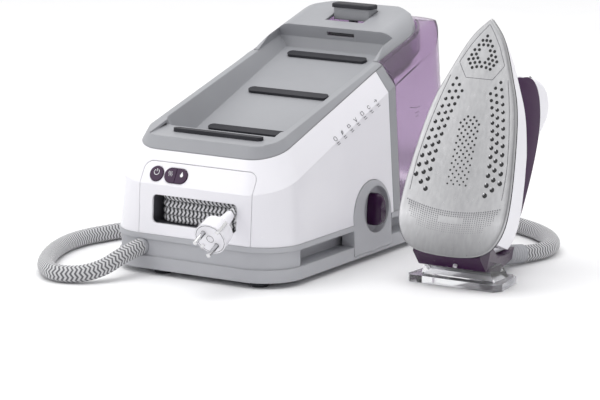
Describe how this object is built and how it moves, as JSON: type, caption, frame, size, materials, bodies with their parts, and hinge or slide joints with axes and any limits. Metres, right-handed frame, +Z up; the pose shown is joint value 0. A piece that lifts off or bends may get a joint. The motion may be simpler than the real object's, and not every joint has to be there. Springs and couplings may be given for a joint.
{
  "type": "steam generator iron",
  "caption": "Steam generator iron: pressurised base station with slide-out water tank, tray and lock, cord store with mains plug, and a corded iron standing on its heel rest beside it.",
  "frame": {"origin": "bottom centre of the bounding box of the station and the iron, without the mains cord and the steam hose", "axes": "+Z up; the station faces -Y; the iron stands on its +X side with its soleplate facing -Y; +X is to the right for someone facing the controls"},
  "size_m": [0.5203, 0.7784, 0.273],
  "materials": {
    "white_gloss": "gloss",
    "grey_cover": "satin",
    "grey_base": "satin",
    "dark_rubber": "matte",
    "violet_tank": "translucent gloss",
    "dark_violet": "gloss",
    "violet_inlay": "satin",
    "soleplate_coat": "satin with printed relief",
    "clear_rest": "clear gloss",
    "lamp": "frosted",
    "steel": "brushed",
    "boiler_alloy": "cast",
    "brass": "machined",
    "pins": "polished",
    "board": "solder mask",
    "black_plastic": "matte",
    "hose_textile": "braided textile"
  },
  "bodies": {
    "station": {"base_tray": "grey_base", "base_deck": "grey_base", "rubber_feet": "dark_rubber", "knob_housing": "grey_base", "knob_seal": "dark_rubber", "drain_valve": "brass", "front_panel": "white_gloss", "body_shell": "white_gloss", "rear_frame": "grey_cover", "cord_compartment": "black_plastic", "cord_gland": "black_plastic", "mains_cord_coil": "hose_textile", "mains_cord_lead": "hose_textile", "plug_body": "white_gloss", "plug_pins": "pins", "top_cover": "grey_cover", "rest_strips": "dark_rubber", "lip_strip": "dark_rubber", "tank_inlet": "dark_rubber", "boiler": "boiler_alloy", "boiler_brackets": "steel", "pump": "black_plastic", "pump_foot": "dark_rubber", "pump_tube": "black_plastic", "steam_valve": "brass", "boiler_tube": "brass", "control_board": "board", "case_screws": "steel", "hose_gland": "black_plastic", "steam_hose": "hose_textile"},
    "power_button": {"power_button": "dark_violet"},
    "pressure_button": {"pressure_button": "dark_violet"},
    "mode_button": {"mode_button": "dark_violet"},
    "descale_knob": {"descale_knob": "dark_violet"},
    "iron_lock": {"lock_slider": "grey_cover", "lock_top": "dark_rubber", "lock_latch": "black_plastic"},
    "water_tank": {"water_tank": "violet_tank", "tank_collar": "dark_violet", "tank_lid": "dark_violet", "tank_valve": "black_plastic"},
    "fill_flap": {"fill_flap": "violet_tank"},
    "iron": {"soleplate": "soleplate_coat", "heater_block": "boiler_alloy", "iron_skirt": "white_gloss", "handle_shell": "white_gloss", "handle_inlay_left": "violet_inlay", "handle_inlay_right": "violet_inlay", "heel_cap": "dark_violet", "heel_lamp": "lamp", "heel_rest": "clear_rest", "hose_relief": "white_gloss"},
    "steam_trigger": {"steam_trigger": "white_gloss"},
    "shot_button": {"shot_button": "dark_violet"}
  },
  "joints": [
    {"name": "power_button_press", "type": "slide", "parent": "station", "child": "power_button", "axis": [0, 0.8813, -0.4726], "range_m": [0, 0.002], "stiffness_N_per_m": 300, "springref_m": -0.001},
    {"name": "pressure_button_press", "type": "slide", "parent": "station", "child": "pressure_button", "axis": [0, 0.8813, -0.4726], "range_m": [0, 0.002], "stiffness_N_per_m": 300, "springref_m": -0.001},
    {"name": "mode_button_press", "type": "slide", "parent": "station", "child": "mode_button", "axis": [0, 0.8813, -0.4726], "range_m": [0, 0.002], "stiffness_N_per_m": 300, "springref_m": -0.001},
    {"name": "descale_knob_turn", "type": "hinge", "parent": "station", "child": "descale_knob", "pos_m": [0.00429, 0.00285, 0.0535], "axis": [1, 0, 0], "range_deg": [-90, 0]},
    {"name": "iron_lock_slide", "type": "slide", "parent": "station", "child": "iron_lock", "axis": [0, -1, 0], "range_m": [0, 0.01]},
    {"name": "water_tank_slide", "type": "slide", "parent": "station", "child": "water_tank", "axis": [0, 1, 0], "range_m": [0, 0.13]},
    {"name": "fill_flap_swing", "type": "hinge", "parent": "water_tank", "child": "fill_flap", "pos_m": [-0.09971, 0.1886, 0.22], "axis": [1, 0, 0], "range_deg": [0, 80]},
    {"name": "iron_lift", "type": "slide", "parent": "station", "child": "iron", "axis": [0, 0, 1], "range_m": [0, 0.09]},
    {"name": "steam_trigger_press", "type": "slide", "parent": "iron", "child": "steam_trigger", "axis": [0, 0.9239, -0.3827], "range_m": [0, 0.005], "stiffness_N_per_m": 400, "springref_m": -0.002},
    {"name": "shot_button_press", "type": "slide", "parent": "iron", "child": "shot_button", "axis": [0, -0.9239, 0.3827], "range_m": [0, 0.0035], "stiffness_N_per_m": 400, "springref_m": -0.001}
  ]
}
